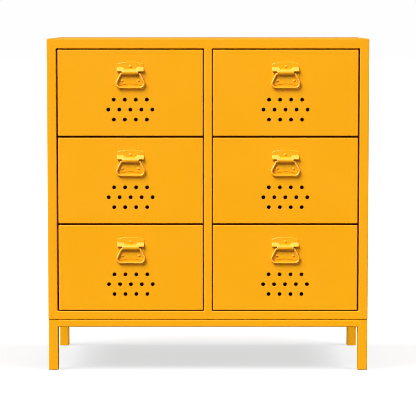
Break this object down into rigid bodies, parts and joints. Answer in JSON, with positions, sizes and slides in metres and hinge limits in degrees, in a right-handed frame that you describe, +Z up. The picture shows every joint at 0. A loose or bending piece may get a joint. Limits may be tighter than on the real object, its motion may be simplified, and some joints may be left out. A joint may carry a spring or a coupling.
{
  "type": "drawer cabinet",
  "caption": "Steel drawer cabinet on a low four-legged stand, with two columns of drawers, swinging bail handles and vent holes.",
  "frame": {"origin": "on the floor, under the middle of the object's outer box", "axes": "+Z up, the drawers open towards -Y, +X to the right seen from the front"},
  "size_m": [0.8, 0.4104, 0.83],
  "materials": {
    "yellow_coat": "smooth semi-gloss powder coat",
    "zinc_plate": "bright zinc plate",
    "black_nylon": "moulded matt"
  },
  "bodies": {
    "cabinet": {"front_frame": "yellow_coat", "top_panel": "yellow_coat", "bottom_panel": "yellow_coat", "left_side_panel": "yellow_coat", "right_side_panel": "yellow_coat", "back_panel": "yellow_coat", "centre_partition": "yellow_coat", "runner_uprights": "yellow_coat", "left_column_runners": "zinc_plate", "right_column_runners": "zinc_plate", "back_panel_rivets": "zinc_plate", "front_rail": "yellow_coat", "rear_rail": "yellow_coat", "side_rails": "yellow_coat", "legs": "yellow_coat", "corner_plates": "yellow_coat", "stand_bolts": "zinc_plate", "foot_glides": "black_nylon"},
    "bottom_left_drawer": {"bottom_left_drawer_front": "yellow_coat", "bottom_left_drawer_box": "yellow_coat", "bottom_left_handle_plate": "yellow_coat", "bottom_left_handle_rivets": "yellow_coat", "bottom_left_drawer_runners": "zinc_plate"},
    "bottom_left_bail": {"bottom_left_handle_bail": "yellow_coat"},
    "bottom_left_cages": {"bottom_left_ball_cages": "zinc_plate"},
    "middle_left_drawer": {"middle_left_drawer_front": "yellow_coat", "middle_left_drawer_box": "yellow_coat", "middle_left_handle_plate": "yellow_coat", "middle_left_handle_rivets": "yellow_coat", "middle_left_drawer_runners": "zinc_plate"},
    "middle_left_bail": {"middle_left_handle_bail": "yellow_coat"},
    "middle_left_cages": {"middle_left_ball_cages": "zinc_plate"},
    "top_left_drawer": {"top_left_drawer_front": "yellow_coat", "top_left_drawer_box": "yellow_coat", "top_left_handle_plate": "yellow_coat", "top_left_handle_rivets": "yellow_coat", "top_left_drawer_runners": "zinc_plate"},
    "top_left_bail": {"top_left_handle_bail": "yellow_coat"},
    "top_left_cages": {"top_left_ball_cages": "zinc_plate"},
    "bottom_right_drawer": {"bottom_right_drawer_front": "yellow_coat", "bottom_right_drawer_box": "yellow_coat", "bottom_right_handle_plate": "yellow_coat", "bottom_right_handle_rivets": "yellow_coat", "bottom_right_drawer_runners": "zinc_plate"},
    "bottom_right_bail": {"bottom_right_handle_bail": "yellow_coat"},
    "bottom_right_cages": {"bottom_right_ball_cages": "zinc_plate"},
    "middle_right_drawer": {"middle_right_drawer_front": "yellow_coat", "middle_right_drawer_box": "yellow_coat", "middle_right_handle_plate": "yellow_coat", "middle_right_handle_rivets": "yellow_coat", "middle_right_drawer_runners": "zinc_plate"},
    "middle_right_bail": {"middle_right_handle_bail": "yellow_coat"},
    "middle_right_cages": {"middle_right_ball_cages": "zinc_plate"},
    "top_right_drawer": {"top_right_drawer_front": "yellow_coat", "top_right_drawer_box": "yellow_coat", "top_right_handle_plate": "yellow_coat", "top_right_handle_rivets": "yellow_coat", "top_right_drawer_runners": "zinc_plate"},
    "top_right_bail": {"top_right_handle_bail": "yellow_coat"},
    "top_right_cages": {"top_right_ball_cages": "zinc_plate"}
  },
  "joints": [
    {"name": "bottom_left_drawer_slide", "type": "slide", "parent": "cabinet", "child": "bottom_left_drawer", "axis": [0, -1, 0], "range_m": [0, 0.26]},
    {"name": "bottom_left_bail_hinge", "type": "hinge", "parent": "bottom_left_drawer", "child": "bottom_left_bail", "pos_m": [-0.19282, -0.19993, 0.30669], "axis": [-1, 0, 0], "range_deg": [0, 90]},
    {"name": "bottom_left_cage_slide", "type": "slide", "parent": "cabinet", "child": "bottom_left_cages", "axis": [0, -1, 0], "range_m": [0, 0.13]},
    {"name": "middle_left_drawer_slide", "type": "slide", "parent": "cabinet", "child": "middle_left_drawer", "axis": [0, -1, 0], "range_m": [0, 0.26]},
    {"name": "middle_left_bail_hinge", "type": "hinge", "parent": "middle_left_drawer", "child": "middle_left_bail", "pos_m": [-0.19282, -0.19993, 0.52516], "axis": [-1, 0, 0], "range_deg": [0, 90]},
    {"name": "middle_left_cage_slide", "type": "slide", "parent": "cabinet", "child": "middle_left_cages", "axis": [0, -1, 0], "range_m": [0, 0.13]},
    {"name": "top_left_drawer_slide", "type": "slide", "parent": "cabinet", "child": "top_left_drawer", "axis": [0, -1, 0], "range_m": [0, 0.26]},
    {"name": "top_left_bail_hinge", "type": "hinge", "parent": "top_left_drawer", "child": "top_left_bail", "pos_m": [-0.19282, -0.19993, 0.74363], "axis": [-1, 0, 0], "range_deg": [0, 90]},
    {"name": "top_left_cage_slide", "type": "slide", "parent": "cabinet", "child": "top_left_cages", "axis": [0, -1, 0], "range_m": [0, 0.13]},
    {"name": "bottom_right_drawer_slide", "type": "slide", "parent": "cabinet", "child": "bottom_right_drawer", "axis": [0, -1, 0], "range_m": [0, 0.26]},
    {"name": "bottom_right_bail_hinge", "type": "hinge", "parent": "bottom_right_drawer", "child": "bottom_right_bail", "pos_m": [0.19282, -0.19993, 0.30669], "axis": [-1, 0, 0], "range_deg": [0, 90]},
    {"name": "bottom_right_cage_slide", "type": "slide", "parent": "cabinet", "child": "bottom_right_cages", "axis": [0, -1, 0], "range_m": [0, 0.13]},
    {"name": "middle_right_drawer_slide", "type": "slide", "parent": "cabinet", "child": "middle_right_drawer", "axis": [0, -1, 0], "range_m": [0, 0.26]},
    {"name": "middle_right_bail_hinge", "type": "hinge", "parent": "middle_right_drawer", "child": "middle_right_bail", "pos_m": [0.19282, -0.19993, 0.52516], "axis": [-1, 0, 0], "range_deg": [0, 90]},
    {"name": "middle_right_cage_slide", "type": "slide", "parent": "cabinet", "child": "middle_right_cages", "axis": [0, -1, 0], "range_m": [0, 0.13]},
    {"name": "top_right_drawer_slide", "type": "slide", "parent": "cabinet", "child": "top_right_drawer", "axis": [0, -1, 0], "range_m": [0, 0.26]},
    {"name": "top_right_bail_hinge", "type": "hinge", "parent": "top_right_drawer", "child": "top_right_bail", "pos_m": [0.19282, -0.19993, 0.74363], "axis": [-1, 0, 0], "range_deg": [0, 90]},
    {"name": "top_right_cage_slide", "type": "slide", "parent": "cabinet", "child": "top_right_cages", "axis": [0, -1, 0], "range_m": [0, 0.13]}
  ],
  "couplings": [
    {"joint": "bottom_left_cage_slide", "follows": "bottom_left_drawer_slide", "ratio": 0.5},
    {"joint": "middle_left_cage_slide", "follows": "middle_left_drawer_slide", "ratio": 0.5},
    {"joint": "top_left_cage_slide", "follows": "top_left_drawer_slide", "ratio": 0.5},
    {"joint": "bottom_right_cage_slide", "follows": "bottom_right_drawer_slide", "ratio": 0.5},
    {"joint": "middle_right_cage_slide", "follows": "middle_right_drawer_slide", "ratio": 0.5},
    {"joint": "top_right_cage_slide", "follows": "top_right_drawer_slide", "ratio": 0.5}
  ]
}
